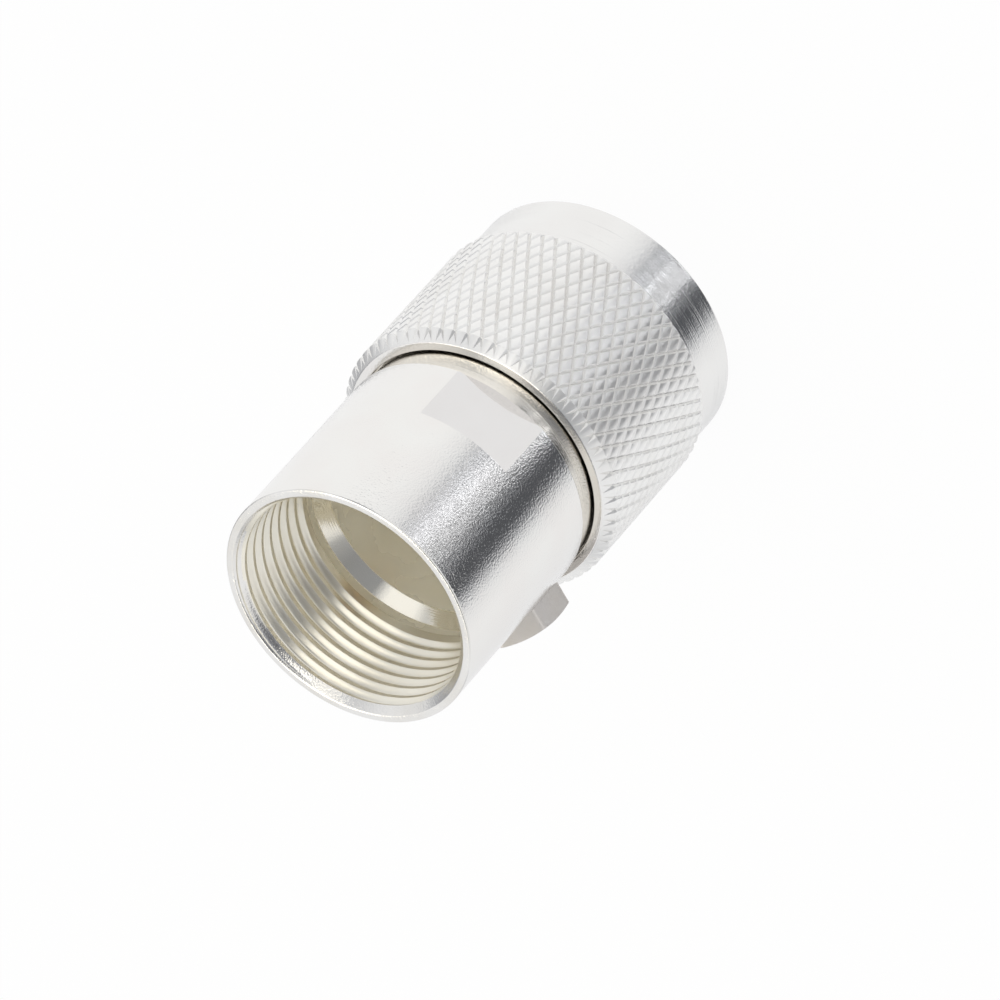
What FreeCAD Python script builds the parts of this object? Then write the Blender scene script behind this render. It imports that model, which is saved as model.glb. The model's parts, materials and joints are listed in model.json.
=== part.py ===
import FreeCAD, Part

import os
from types import SimpleNamespace

import Sketcher
from FreeCAD import Placement, Rotation, Vector

# A coaxial plug for thick cable, type N, as it stands on the front face of its coupling nut.
# Z = 0 is that face, +Z runs along the axis to the open rear end where the cable goes in.
# The two wrench flats face +Y and -Y. All sizes are in millimetres, angles in degrees.

# Driving dimensions. Radial steps, walls and clearances are measured on the radius.
SIZES = {
    # coupling nut, from its front face to its rear face
    "nut_length": 16.8,
    "coupling_bore": 14.86,
    "coupling_mouth": 0.7,
    "coupling_thread_end": 7.4,
    "coupling_relief": 0.72,
    "nut_wall": 1.6,
    "band_step": 0.48,
    "band_length": 4.4,
    "nut_chamfer": 0.75,
    "knurl_depth": 0.33,
    "knurl_count": 64,
    "knurl_rows": 12,
    "nut_mouth_gap": 0.27,
    "nut_mouth_depth": 1.2,
    "nut_lip": 0.95,
    # turned body, from the open rear rim down to the face that the gasket lies on
    "barrel_length": 14.9,
    "barrel_wall": 1.04,
    "rim_bevel": 0.2,
    "rim_mouth": 0.62,
    "clamp_thread_end": 8.5,
    "clamp_relief": 0.23,
    "clamp_relief_width": 0.85,
    "seat_step": 0.66,
    "seat_cone_length": 0.89,
    "neck_margin": 0.65,
    "neck_step": 0.41,
    "neck_reveal": 1.7,
    "floor_reveal": 0.1,
    "hub_wall": 0.9,
    "hub_length": 1.1,
    # wrench flats
    "flat_depth": 0.66,
    "flat_length": 5.0,
    # split ring that keeps the nut on the neck
    "ring_setback": 1.05,
    "ring_thickness": 0.8,
    "ring_groove_depth": 0.7,
    "ring_reach": 0.55,
    "ring_gap_angle": 16.0,
    # face gasket
    "gasket_setback": 0.45,
    "gasket_thickness": 1.5,
    # outer contact
    "sleeve_setback": 2.3,
    "sleeve_bore": 7.0,
    "sleeve_wall": 0.53,
    "sleeve_tip_bevel": 0.2,
    "flange_reach": 0.8,
    "flange_thickness": 0.9,
    "bead_ledge": 0.33,
    "skirt_length": 3.0,
    "skirt_wall": 0.75,
    "slot_count": 4,
    "slot_angle": 45.0,
    "slot_width": 0.4,
    "slot_length": 5.5,
    # centre contact and its two beads
    "pin_diameter": 1.65,
    "pin_length": 5.3,
    "pin_tip_diameter": 0.7,
    "pin_tip_length": 0.9,
    "shoulder_setback": 5.5,
    "contact_diameter": 3.04,
    "collar_reach": 0.48,
    "collar_thickness": 0.6,
    "cup_reveal": 1.7,
    "cup_bore": 2.3,
    "cup_depth": 4.0,
    "cup_hole": 0.8,
    "cup_hole_setback": 0.7,
    "front_bead_length": 3.45,
    "rear_bead_length": 2.8,
    # side screw
    "screw_angle": -36.0,
    "screw_station": 1.45,
    "screw_turn": 3.0,
    "screw_across_flats": 5.5,
    "screw_seat_depth": 0.33,
    "screw_reach": 1.6,
    "screw_crown": 4.9,
    "screw_corner_drop": 0.28,
    "screw_shank": 2.4,
    "screw_seat_margin": 0.1,
    # clearances on the radius or, for the ring and the nut's float, along the axis
    "running_clearance": 0.07,
    "seat_clearance": 0.02,
    "ring_clearance": 0.05,
    "ring_nut_clearance": 0.15,
    "nut_float": 0.3,
}

FULL_TURN = 360


class Size:
    """A number from the sheet, or worked out from it, together with the expression that gives it."""

    def __init__(self, number, text):
        self.number = number
        self.text = text

    def join(self, other, sign, number):
        text = other.text if isinstance(other, Size) else repr(other)
        return Size(number, f"({self.text} {sign} {text})")

    def __add__(self, other):
        return self.join(other, "+", self.number + plain(other))

    def __sub__(self, other):
        return self.join(other, "-", self.number - plain(other))

    def __mul__(self, other):
        return self.join(other, "*", self.number * plain(other))

    def __truediv__(self, other):
        return self.join(other, "/", self.number / plain(other))


def plain(value):
    return value.number if isinstance(value, Size) else value


doc = FreeCAD.newDocument("coaxial_plug")
sheet = doc.addObject("Spreadsheet::Sheet", "Sizes")
for row, (alias, number) in enumerate(SIZES.items(), start=1):
    sheet.set(f"A{row}", alias)
    sheet.set(f"B{row}", str(number))
    sheet.setAlias(f"B{row}", alias)
doc.recompute()
size = SimpleNamespace(**{alias: Size(float(getattr(sheet, alias)), f"Sizes.{alias}") for alias in SIZES})

# Radii of the coupling nut and of the body, from the coupling bore outwards.
coupling_radius = size.coupling_bore / 2
coupling_relief_radius = coupling_radius + size.coupling_relief
neck_radius = coupling_relief_radius + size.neck_margin
running_radius = neck_radius + size.running_clearance
nut_mouth_radius = neck_radius + size.nut_mouth_gap
knurl_radius = neck_radius + size.nut_wall
knurl_root_radius = knurl_radius - size.knurl_depth
band_radius = knurl_radius - size.band_step
barrel_radius = neck_radius + size.neck_step
clamp_radius = barrel_radius - size.barrel_wall
relief_radius = clamp_radius + size.clamp_relief
cavity_radius = clamp_radius - size.seat_step

# Heights, from the nut's front face up.
rim_height = size.nut_length + size.neck_reveal + size.barrel_length
shoulder_height = size.nut_length + size.neck_reveal
nut_groove_top = size.nut_length - size.nut_mouth_depth - size.nut_lip
ring_top = nut_groove_top - size.ring_nut_clearance
ring_bottom = ring_top - size.ring_thickness
nut_groove_bottom = ring_bottom - size.ring_nut_clearance
body_groove_top = ring_top + size.ring_clearance
body_groove_bottom = ring_bottom - size.ring_clearance
gasket_seat = body_groove_bottom - size.ring_setback
hub_front = gasket_seat - size.hub_length
flange_front = hub_front - size.flange_thickness
skirt_end = hub_front + size.skirt_length
rear_bead_end = skirt_end + size.rear_bead_length
cavity_floor = rear_bead_end + size.floor_reveal

# Ring, contact, bead and hub radii.
ring_groove_radius = neck_radius - size.ring_groove_depth
ring_inner_radius = ring_groove_radius + size.ring_clearance
ring_outer_radius = neck_radius + size.ring_reach
sleeve_bore_radius = size.sleeve_bore / 2
sleeve_radius = sleeve_bore_radius + size.sleeve_wall
bead_seat_radius = sleeve_bore_radius + size.bead_ledge
skirt_radius = bead_seat_radius + size.skirt_wall
insert_radius = skirt_radius + size.seat_clearance
hub_radius = insert_radius + size.hub_wall
contact_radius = size.contact_diameter / 2
collar_radius = contact_radius + size.collar_reach
bead_hole_radius = contact_radius + size.seat_clearance

# Side screw: its axis is square to the body's, and its head seats on a small flat in the barrel.
screw_height = shoulder_height + size.screw_station
screw_seat_radius = barrel_radius - size.screw_seat_depth
screw_corner_radius = size.screw_across_flats / 3**0.5
screw_shank_radius = size.screw_shank / 2
screw_shank_length = screw_seat_radius - cavity_radius - size.screw_seat_margin


def new_body(label):
    body = doc.addObject("PartDesign::Body", label)
    body.Label = label
    return body


def origin_feature(body, role):
    return next(feature for feature in body.Origin.OriginFeatures if feature.Role == role)


def new_sketch(body, name, role):
    """An empty sketch on one of the body's own origin planes."""
    sketch = body.newObject("Sketcher::SketchObject", name)
    sketch.AttachmentSupport = [(origin_feature(body, role), "")]
    sketch.MapMode = "FlatFace"
    return sketch


def bind(target, path, value):
    """Tie a property to the sheet, or set it where it is a bare number."""
    if isinstance(value, Size):
        target.setExpression(path, value.text)
    else:
        setattr(target, path, value)


def pin_down(sketch, line, point, across, up):
    """Fix one point of the sketch at its two coordinates."""
    for kind, value, axis in (("DistanceX", across, -2), ("DistanceY", up, -1)):
        if plain(value) == 0:
            sketch.addConstraint(Sketcher.Constraint("PointOnObject", line, point, axis))
            continue
        index = sketch.addConstraint(Sketcher.Constraint(kind, -1, 1, line, point, plain(value)))
        if isinstance(value, Size):
            sketch.setExpression(f"Constraints[{index}]", value.text)


def polygon(sketch, points):
    """Draw a closed outline of straight lines through points given as (across, up)."""
    corners = [Vector(plain(across), plain(up), 0) for across, up in points]
    for index, corner in enumerate(corners):
        sketch.addGeometry(Part.LineSegment(corner, corners[(index + 1) % len(corners)]), False)
    for index, (across, up) in enumerate(points):
        sketch.addConstraint(Sketcher.Constraint("Coincident", index - 1 if index else len(points) - 1, 2, index, 1))
        pin_down(sketch, index, 1, across, up)


def circle(sketch, across, up, radius):
    centre = Vector(plain(across), plain(up), 0)
    line = sketch.addGeometry(Part.Circle(centre, Vector(0, 0, 1), plain(radius)), False)
    pin_down(sketch, line, 3, across, up)
    index = sketch.addConstraint(Sketcher.Constraint("Radius", line, plain(radius)))
    if isinstance(radius, Size):
        sketch.setExpression(f"Constraints[{index}]", radius.text)


def turn(body, name, outline, angle=None):
    """Revolve an outline of (radius, height) points about the axis."""
    sketch = new_sketch(body, f"{name}_outline", "XZ_Plane")
    polygon(sketch, outline)
    turned = body.newObject("PartDesign::Revolution", name)
    turned.Profile = sketch
    turned.ReferenceAxis = (sketch, ["V_Axis"])
    turned.Angle = FULL_TURN
    if angle is not None:
        turned.Midplane = True
        bind(turned, "Angle", angle)
    doc.recompute()
    return turned


def pocket(body, name, sketch, depth, outward=False):
    """Cut a sketch into the body, and make sure that it removed something."""
    before = body.Shape.Volume
    cut = body.newObject("PartDesign::Pocket", name)
    cut.Profile = sketch
    cut.Reversed = outward
    bind(cut, "Length", depth)
    doc.recompute()
    if not cut.Shape.Volume < before:
        raise RuntimeError(f"{name} cuts nothing")
    return cut


def repeat_round(body, name, feature, count):
    pattern = body.newObject("PartDesign::PolarPattern", name)
    pattern.Originals = [feature]
    pattern.Axis = (origin_feature(body, "Z_Axis"), [""])
    pattern.Angle = FULL_TURN
    bind(pattern, "Occurrences", count)
    body.Tip = pattern
    doc.recompute()
    return pattern


def radial_sketch(body, name, out):
    """A sketch square to the side screw's axis, at the distance out from the main axis."""
    sketch = new_sketch(body, name, "YZ_Plane")
    sketch.AttachmentOffset = Placement(Vector(0, 0, 0), Rotation(Vector(0, 1, 0), size.screw_angle.number))
    sketch.setExpression("AttachmentOffset.Base.x", f"{out.text} * sin({size.screw_angle.text} * 1 deg)")
    sketch.setExpression("AttachmentOffset.Base.z", f"{out.text} * cos({size.screw_angle.text} * 1 deg)")
    sketch.setExpression("AttachmentOffset.Rotation.Angle", f"{size.screw_angle.text} * 1 deg")
    return sketch


def make_rear_body():
    """The plug's body: threaded barrel, shoulder, neck for the nut, and hub for the contacts."""
    body = new_body("rear_body")
    outline = [
        (insert_radius, hub_front),
        (hub_radius, hub_front),
        (hub_radius, gasket_seat),
        (neck_radius, gasket_seat),
        (neck_radius, body_groove_bottom),
        (ring_groove_radius, body_groove_bottom),
        (ring_groove_radius, body_groove_top),
        (neck_radius, body_groove_top),
        (neck_radius, shoulder_height),
        (barrel_radius, shoulder_height),
        (barrel_radius, rim_height - size.rim_bevel),
        (barrel_radius - size.rim_bevel, rim_height),
        (clamp_radius + size.rim_mouth, rim_height),
        (clamp_radius, rim_height - size.rim_mouth),
        (clamp_radius, rim_height - size.clamp_thread_end),
        (relief_radius, rim_height - size.clamp_thread_end),
        (relief_radius, rim_height - size.clamp_thread_end - size.clamp_relief_width),
        (cavity_radius, rim_height - size.clamp_thread_end - size.clamp_relief_width - size.seat_cone_length),
        (cavity_radius, cavity_floor),
        (insert_radius, cavity_floor),
    ]
    turn(body, "body_turned", outline)

    flat = new_sketch(body, "flat_outline", "XY_Plane")
    flat.setExpression("AttachmentOffset.Base.z", shoulder_height.text)
    far = barrel_radius + size.barrel_wall
    near = barrel_radius - size.flat_depth
    polygon(flat, [(barrel_radius, near), (barrel_radius, far), (barrel_radius * -1, far), (barrel_radius * -1, near)])
    repeat_round(body, "flats", pocket(body, "flat", flat, size.flat_length, outward=True), 2)

    seat = radial_sketch(body, "screw_seat_outline", screw_seat_radius)
    circle(seat, 0, screw_height, screw_corner_radius + size.screw_seat_margin)
    pocket(body, "screw_seat", seat, size.barrel_wall, outward=True)

    hole = radial_sketch(body, "screw_hole_outline", screw_seat_radius)
    circle(hole, 0, screw_height, screw_shank_radius + size.ring_clearance)
    pocket(body, "screw_hole", hole, screw_seat_radius - cavity_radius + size.barrel_wall)
    return body


def knurled_bar():
    """A bar with a diamond knurl and a beveled rear end, as flat facets.

    The knurl's points stand on the top radius at every second crossing of rows and half steps, and
    the four corners of each diamond lie between them on the root radius.
    """
    count = int(size.knurl_count.number)
    rows = int(size.knurl_rows.number)
    knurl_end = size.nut_length - size.nut_chamfer
    row_height = (knurl_end - size.band_length).number / rows
    half_step = FULL_TURN / (2 * count)

    def spot(radius, step, row):
        height = size.band_length.number + row * row_height
        around = Rotation(Vector(0, 0, 1), step * half_step)
        return around.multVec(Vector(radius.number, 0, 0)) + Vector(0, 0, height)

    def ring(row):
        return [spot(knurl_root_radius if (step + row) % 2 else knurl_radius, step, row) for step in range(2 * count)]

    def rear_spot(step):
        around = Rotation(Vector(0, 0, 1), step * half_step)
        return around.multVec(Vector((knurl_radius - size.nut_chamfer).number, 0, 0)) + Vector(0, 0, size.nut_length.number)

    facets = []
    for row in range(rows + 1):
        for step in range(row % 2, 2 * count, 2):
            point = spot(knurl_radius, step, row)
            left, right = spot(knurl_root_radius, step - 1, row), spot(knurl_root_radius, step + 1, row)
            if row > 0:
                below = spot(knurl_root_radius, step, row - 1)
                facets += [(left, below, point), (below, right, point)]
            if row < rows:
                above = spot(knurl_root_radius, step, row + 1)
                facets += [(right, above, point), (above, left, point)]
            else:
                corner, next_corner = rear_spot(step), rear_spot(step + 2)
                facets += [(left, point, corner), (point, right, corner), (right, next_corner, corner)]
    facets.append(ring(0))
    facets.append([rear_spot(step) for step in range(rows % 2, 2 * count, 2)])
    faces = [Part.Face(Part.makePolygon([*facet, facet[0]])) for facet in facets]
    solid = Part.makeSolid(Part.makeShell(faces))
    if solid.Volume < 0:
        solid.reverse()
    return solid


def make_coupling_nut():
    """The nut that pulls the plug onto its jack: tapped in front, running on the neck behind."""
    bar = doc.addObject("Part::Feature", "knurled_bar")
    bar.Shape = knurled_bar()

    band = doc.addObject("Part::Cylinder", "front_band")
    bind(band, "Radius", band_radius)
    bind(band, "Height", size.band_length + size.nut_wall)
    blank = doc.addObject("Part::Fuse", "nut_blank")
    blank.Base = bar
    blank.Tool = band

    shelf = gasket_seat - size.nut_float
    groove_radius = ring_outer_radius + size.ring_nut_clearance
    mouth = coupling_radius + size.coupling_mouth
    bore = new_body("nut_bore")
    outline = [
        (0, size.nut_wall * -1),
        (mouth, size.nut_wall * -1),
        (mouth, 0),
        (coupling_radius, size.coupling_mouth),
        (coupling_radius, size.coupling_thread_end),
        (coupling_relief_radius, size.coupling_thread_end),
        (coupling_relief_radius, shelf),
        (running_radius, shelf),
        (running_radius, nut_groove_bottom),
        (groove_radius, nut_groove_bottom),
        (groove_radius, nut_groove_top),
        (running_radius, nut_groove_top),
        (running_radius, size.nut_length - size.nut_mouth_depth),
        (nut_mouth_radius, size.nut_length - size.nut_mouth_depth),
        (nut_mouth_radius, size.nut_length + size.nut_wall),
        (0, size.nut_length + size.nut_wall),
    ]
    turn(bore, "bore_turned", outline)

    nut = doc.addObject("Part::Cut", "coupling_nut")
    nut.Base = blank
    nut.Tool = bore
    doc.recompute()
    return nut


def make_retaining_ring():
    """Split spring ring, half in the body's groove and half in the nut's."""
    body = new_body("retaining_ring")
    outline = [
        (ring_inner_radius, ring_bottom),
        (ring_outer_radius, ring_bottom),
        (ring_outer_radius, ring_top),
        (ring_inner_radius, ring_top),
    ]
    opened = Size(FULL_TURN - size.ring_gap_angle.number, f"({FULL_TURN} - {size.ring_gap_angle.text})")
    turn(body, "ring_turned", outline, angle=opened)
    return body


def make_gasket():
    """Rubber washer on the body's front face, which the jack's end presses on."""
    body = new_body("face_gasket")
    inner = hub_radius + size.ring_clearance
    outer = coupling_relief_radius - size.gasket_setback
    front = gasket_seat - size.gasket_thickness
    turn(body, "gasket_turned", [(inner, front), (outer, front), (outer, gasket_seat), (inner, gasket_seat)])
    return body


def make_outer_contact():
    """Slotted sleeve with a flange against the hub and a skirt in the hub's bore."""
    body = new_body("outer_contact")
    flange_radius = insert_radius + size.flange_reach
    bead_seat = skirt_end - size.front_bead_length
    outline = [
        (sleeve_bore_radius, size.sleeve_setback),
        (sleeve_radius - size.sleeve_tip_bevel, size.sleeve_setback),
        (sleeve_radius, size.sleeve_setback + size.sleeve_tip_bevel),
        (sleeve_radius, flange_front),
        (flange_radius, flange_front),
        (flange_radius, hub_front),
        (skirt_radius, hub_front),
        (skirt_radius, skirt_end),
        (bead_seat_radius, skirt_end),
        (bead_seat_radius, bead_seat),
        (sleeve_bore_radius, bead_seat),
    ]
    turn(body, "contact_turned", outline)

    slot = new_sketch(body, "slot_outline", "XY_Plane")
    slot.AttachmentOffset = Placement(Vector(0, 0, 0), Rotation(Vector(0, 0, 1), size.slot_angle.number))
    slot.setExpression("AttachmentOffset.Base.z", size.sleeve_setback.text)
    slot.setExpression("AttachmentOffset.Rotation.Angle", f"{size.slot_angle.text} * 1 deg")
    half = size.slot_width / 2
    inside = sleeve_bore_radius - size.sleeve_wall
    outside = sleeve_radius + size.sleeve_wall
    polygon(slot, [(inside, half * -1), (outside, half * -1), (outside, half), (inside, half)])
    repeat_round(body, "slots", pocket(body, "slot", slot, size.slot_length, outward=True), size.slot_count)
    return body


def make_front_bead():
    """Plastic bead that centres the pin in the outer contact's skirt."""
    body = new_body("front_bead")
    outer = bead_seat_radius - size.seat_clearance
    front = skirt_end - size.front_bead_length
    outline = [(bead_hole_radius, front), (outer, front), (outer, skirt_end), (bead_hole_radius, skirt_end)]
    turn(body, "front_bead_turned", outline)
    return body


def make_rear_bead():
    """Plastic bead behind the front one. The two trap the pin's collar between them."""
    body = new_body("rear_bead")
    pocket_radius = collar_radius + size.seat_clearance
    outline = [
        (pocket_radius, skirt_end),
        (skirt_radius, skirt_end),
        (skirt_radius, rear_bead_end),
        (bead_hole_radius, rear_bead_end),
        (bead_hole_radius, skirt_end + size.collar_thickness + size.seat_clearance),
        (pocket_radius, skirt_end + size.collar_thickness + size.seat_clearance),
    ]
    turn(body, "rear_bead_turned", outline)
    return body


def make_centre_contact():
    """Pin in front, shoulder and collar in the beads, and a solder cup for the cable's core behind."""
    body = new_body("centre_contact")
    shoulder = size.sleeve_setback + size.shoulder_setback
    tip = shoulder - size.pin_length
    cup_end = rear_bead_end + size.cup_reveal
    pin_radius = size.pin_diameter / 2
    outline = [
        (0, tip),
        (size.pin_tip_diameter / 2, tip),
        (pin_radius, tip + size.pin_tip_length),
        (pin_radius, shoulder),
        (contact_radius, shoulder),
        (contact_radius, skirt_end),
        (collar_radius, skirt_end),
        (collar_radius, skirt_end + size.collar_thickness),
        (contact_radius, skirt_end + size.collar_thickness),
        (contact_radius, cup_end),
        (size.cup_bore / 2, cup_end),
        (size.cup_bore / 2, cup_end - size.cup_depth),
        (0, cup_end - size.cup_depth),
    ]
    turn(body, "pin_turned", outline)

    hole = new_sketch(body, "cup_hole_outline", "XZ_Plane")
    circle(hole, 0, rear_bead_end + size.cup_hole_setback, size.cup_hole / 2)
    pocket(body, "cup_hole", hole, contact_radius + size.collar_reach)
    return body


def make_side_screw():
    """Hexagon-headed screw in the barrel's wall, beside the shoulder and between the flats."""
    body = new_body("side_screw")
    head_bottom = screw_shank_length
    head_top = head_bottom + size.screw_seat_depth + size.screw_reach

    hexagon = new_sketch(body, "head_outline", "XY_Plane")
    hexagon.setExpression("AttachmentOffset.Base.z", head_bottom.text)
    across = size.screw_across_flats / 2
    half_side = screw_corner_radius / 2
    corners = [
        (0, screw_corner_radius),
        (across * -1, half_side),
        (across * -1, half_side * -1),
        (0, screw_corner_radius * -1),
        (across, half_side * -1),
        (across, half_side),
    ]
    polygon(hexagon, corners)
    head = body.newObject("PartDesign::Pad", "head")
    head.Profile = hexagon
    bind(head, "Length", size.screw_seat_depth + size.screw_reach)
    doc.recompute()

    trim = new_sketch(body, "crown_outline", "XZ_Plane")
    outside = screw_corner_radius + size.screw_seat_margin
    low = head_top - size.screw_corner_drop
    polygon(trim, [(size.screw_crown / 2, head_top), (screw_corner_radius, low), (outside, low), (outside, head_top)])
    crown = body.newObject("PartDesign::Groove", "crown")
    crown.Profile = trim
    crown.ReferenceAxis = (trim, ["V_Axis"])
    crown.Angle = FULL_TURN
    doc.recompute()
    if not crown.Shape.Volume < head.Shape.Volume:
        raise RuntimeError("crown cuts nothing")

    shank_outline = new_sketch(body, "shank_outline", "XY_Plane")
    circle(shank_outline, 0, 0, screw_shank_radius)
    shank = body.newObject("PartDesign::Pad", "shank")
    shank.Profile = shank_outline
    bind(shank, "Length", screw_shank_length)
    doc.recompute()

    start = screw_seat_radius - screw_shank_length
    turned = Rotation(size.screw_angle.number, 90, 0) * Rotation(Vector(0, 0, 1), size.screw_turn.number)
    out = turned.multVec(Vector(0, 0, start.number))
    body.Placement = Placement(out + Vector(0, 0, screw_height.number), turned)
    return body


parts = [
    make_rear_body(),
    make_coupling_nut(),
    make_retaining_ring(),
    make_gasket(),
    make_outer_contact(),
    make_front_bead(),
    make_rear_bead(),
    make_centre_contact(),
    make_side_screw(),
]
doc.recompute()

for item in doc.Objects:
    if {"Invalid", "Error"} & set(item.State):
        raise RuntimeError(f"{item.Label} did not build: {item.State}")
for part in parts:
    if part.Shape.isNull() or not part.Shape.isValid() or len(part.Shape.Solids) != 1:
        raise RuntimeError(f"{part.Label} is not one valid solid")

os.makedirs("parts", exist_ok=True)
for part in parts:
    part.Shape.exportStep(f"parts/{part.Label}.step")
    box = part.Shape.BoundBox
    print(f"{part.Label}: {part.Shape.Volume:.2f} mm3, {box.XLength:.2f} x {box.YLength:.2f} x {box.ZLength:.2f} mm")
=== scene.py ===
import json
import math

import bmesh
import bpy
from mathutils import Matrix, Vector


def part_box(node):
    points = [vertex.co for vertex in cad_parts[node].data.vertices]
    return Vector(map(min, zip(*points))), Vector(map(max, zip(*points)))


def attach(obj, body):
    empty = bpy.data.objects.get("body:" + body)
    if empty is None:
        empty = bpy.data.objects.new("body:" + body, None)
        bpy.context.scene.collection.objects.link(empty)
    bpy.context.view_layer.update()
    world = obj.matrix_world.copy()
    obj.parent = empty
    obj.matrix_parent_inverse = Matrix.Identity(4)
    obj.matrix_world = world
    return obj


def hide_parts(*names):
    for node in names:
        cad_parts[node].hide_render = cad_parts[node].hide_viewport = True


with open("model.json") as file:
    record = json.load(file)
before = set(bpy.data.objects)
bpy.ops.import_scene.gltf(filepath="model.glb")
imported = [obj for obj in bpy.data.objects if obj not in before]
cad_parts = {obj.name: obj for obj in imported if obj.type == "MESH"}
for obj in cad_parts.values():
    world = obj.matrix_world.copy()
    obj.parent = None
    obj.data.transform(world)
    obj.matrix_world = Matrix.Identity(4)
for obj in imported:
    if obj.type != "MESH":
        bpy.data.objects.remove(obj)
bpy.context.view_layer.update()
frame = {"record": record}
mounts = {mount["name"]: mount for mount in frame["record"]["mounts"]}
MM = 0.001

# The turned body: one piece of brass with a satin silver plate. Its open rear end is tapped for
# the cable clamp, two wrench flats are milled beside the shoulder, and the thin neck in front of
# them carries the coupling nut. The hub at its front end holds the contacts.
body_low, body_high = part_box("rear_body")
hub_front = body_low.z / MM
rim = body_high.z / MM
barrel_radius = body_high.x / MM
SHOULDER = 18.5
NECK_RADIUS = 8.8
NECK_COLLAR = (15.7, 8.92)
NECK_COLLAR_RAMP = 0.12
HUB_RADIUS = 5.5
INSERT_RADIUS = 4.6
GASKET_SEAT = 12.6
RING_GROOVE = (13.65, 14.55, 8.1)
CAVITY_RADIUS = 7.51
CAVITY_FLOOR = 17.4
SEAT_CONE = (23.16, 24.05)
RELIEF_RADIUS = 8.4
RIM_MOUTH = 0.52
RIM_EDGE = 0.13
SHOULDER_EDGE = 0.12
THREAD_PITCH = 25.4 / 24
THREAD_HALF_SHARE = 0.485
THREAD_POINTS = 12
THREAD_SINK = 0.06
CLAMP_THREAD_DEPTH = 0.42
CLAMP_THREAD_START = 0.25
FLAT_FROM_AXIS = 8.55
FLAT_END = 23.5
SCREW_ANGLE = math.radians(-36)
SCREW_HEIGHT = 19.95
SCREW_SEAT = (8.88, 3.275)
SCREW_HOLE_RADIUS = 1.25
clamp_radius = mounts["clamp_thread"]["dims"]["r_mm"]
clamp_start = mounts["clamp_thread"]["pos_m"][2] / MM - mounts["clamp_thread"]["dims"]["length_mm"] / 2

BODY_STEPS = 192
ARC_POINTS = 4
CLEAR = 1        # how far a cutter reaches past the metal, in mm
SQUARE_ON = 0.9999        # the cosine from which a face counts as square to a direction
SLACK = 0.01        # how near a face has to lie to count as part of a surface, in mm


def eased(corners):
    """Round the corners of an outline of (radius, height) or (radius, height, easing) points."""
    outline = []
    for index, corner in enumerate(corners):
        here = Vector(corner[:2])
        easing = corner[2] if len(corner) > 2 else 0
        if not easing:
            outline.append(here)
            continue
        before = (Vector(corners[index - 1][:2]) - here).normalized()
        after = (Vector(corners[(index + 1) % len(corners)][:2]) - here).normalized()
        for step in range(ARC_POINTS + 1):
            share = step / ARC_POINTS
            outline.append(here + before * easing * (1 - share) ** 2 + after * easing * share**2)
    return outline


def turned(corners, steps=BODY_STEPS):
    """A closed outline turned about the axis, as a bmesh in metres."""
    bm = bmesh.new()
    points = [bm.verts.new((across * MM, 0, up * MM)) for across, up in eased(corners)]
    edges = [bm.edges.new(pair) for pair in zip(points, points[1:] + points[:1])]
    bmesh.ops.spin(bm, geom=points + edges, axis=(0, 0, 1), angle=math.tau, steps=steps, use_merge=True)
    bmesh.ops.remove_doubles(bm, verts=bm.verts, dist=1e-7)
    bmesh.ops.recalc_face_normals(bm, faces=bm.faces)
    return bm


def thread_cutter(crest, depth, low, high, steps):
    """The coil of metal that a tap takes out of a bore of radius crest: a rounded groove."""
    bm = bmesh.new()
    half = THREAD_PITCH * THREAD_HALF_SHARE
    inner = crest - 3 * THREAD_SINK
    section = [(inner, -half), (inner, half)]
    for index in range(THREAD_POINTS + 1):
        share = 1 - 2 * index / THREAD_POINTS
        bulge = (depth + THREAD_SINK) * (1 + math.cos(math.pi * share)) / 2
        section.append((crest - THREAD_SINK + bulge, share * half))
    turns = (high - low) / THREAD_PITCH
    count = round(turns * steps)
    ring = [bm.verts.new((across * MM, 0, (low + up) * MM)) for across, up in section]
    face = bm.faces.new(ring)
    rise = Vector((0, 0, (high - low) * MM / count))
    bmesh.ops.spin(
        bm, geom=[face], axis=(0, 0, 1), angle=math.tau * turns, steps=count, dvec=rise,
        use_merge=False,
    )
    bmesh.ops.recalc_face_normals(bm, faces=bm.faces)
    return bm


def as_object(bm, name):
    """A bmesh put into the scene as an object."""
    mesh = bpy.data.meshes.new(name)
    bm.to_mesh(mesh)
    bm.free()
    piece = bpy.data.objects.new(name, mesh)
    bpy.context.scene.collection.objects.link(piece)
    return piece


def carve(piece, cutters, operation="DIFFERENCE"):
    """Take each cutter's solid out of the piece, or keep only what lies inside it."""
    tools = [as_object(bm, f"cutter_{index}") for index, bm in enumerate(cutters)]
    for tool in tools:
        cut = piece.modifiers.new(tool.name, "BOOLEAN")
        cut.operation = operation
        cut.solver = "EXACT"
        cut.object = tool
    evaluated = piece.evaluated_get(bpy.context.evaluated_depsgraph_get())
    carved = bpy.data.meshes.new_from_object(evaluated)
    piece.modifiers.clear()
    piece.data = carved
    for tool in tools:
        bpy.data.objects.remove(tool)


def smooth(piece, sharp_above=28):
    """Shade the piece smooth, apart from its edges above this angle in degrees."""
    piece.data.shade_smooth()
    piece.data.set_sharp_from_angle(angle=math.radians(sharp_above))


def outline_flat(piece, normal, reach):
    """Keep a milled face's own edges crisp: the face square to normal at this distance out."""
    bm = bmesh.new()
    bm.from_mesh(piece.data)
    flat = set()
    for face in bm.faces:
        away = abs(face.calc_center_median().dot(normal) / MM - reach)
        if face.normal.dot(normal) > SQUARE_ON and away < SLACK:
            flat.add(face)
    for edge in bm.edges:
        sides = [face in flat for face in edge.link_faces]
        if sides in ([True, False], [False, True]):
            edge.smooth = False
    bm.to_mesh(piece.data)
    bm.free()


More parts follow.
